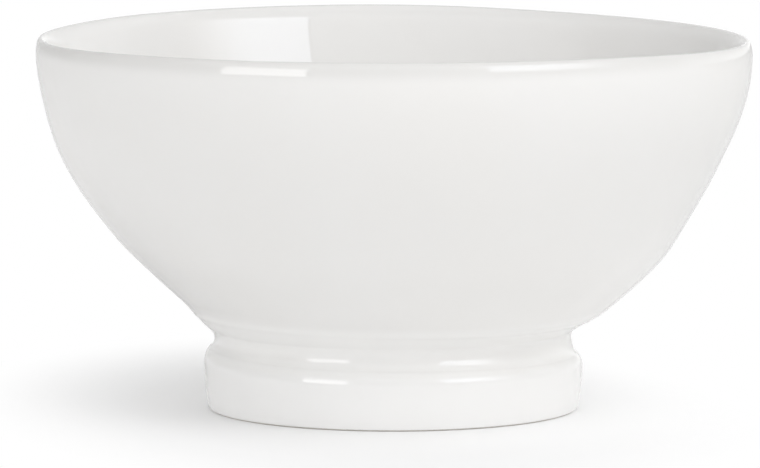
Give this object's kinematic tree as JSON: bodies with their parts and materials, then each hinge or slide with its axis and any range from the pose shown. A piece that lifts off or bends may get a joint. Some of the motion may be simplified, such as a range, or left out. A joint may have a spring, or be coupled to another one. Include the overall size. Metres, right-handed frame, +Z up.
{
  "type": "latte bowl",
  "caption": "Wide round porcelain bowl for milky coffee, without a handle, on a turned pedestal foot with a hollow underside and a bare standing ring.",
  "frame": {"origin": "middle of the standing ring, in the plane of the table", "axes": "+Z up along the axis of the bowl, towards the lip; X and Y are alike, with -Y towards the picture's camera"},
  "size_m": [0.14, 0.14, 0.0735],
  "materials": {
    "fired_clay": "bare fired white porcelain, fine matt",
    "slip": "fired white slip, matt",
    "glaze": "smooth white gloss glaze"
  },
  "bodies": {
    "root": {"bowl": "fired_clay", "foot_ring": "fired_clay", "luting_slip": "slip", "glaze_coat": "glaze", "foot_well_glaze": "glaze"}
  },
  "joints": []
}
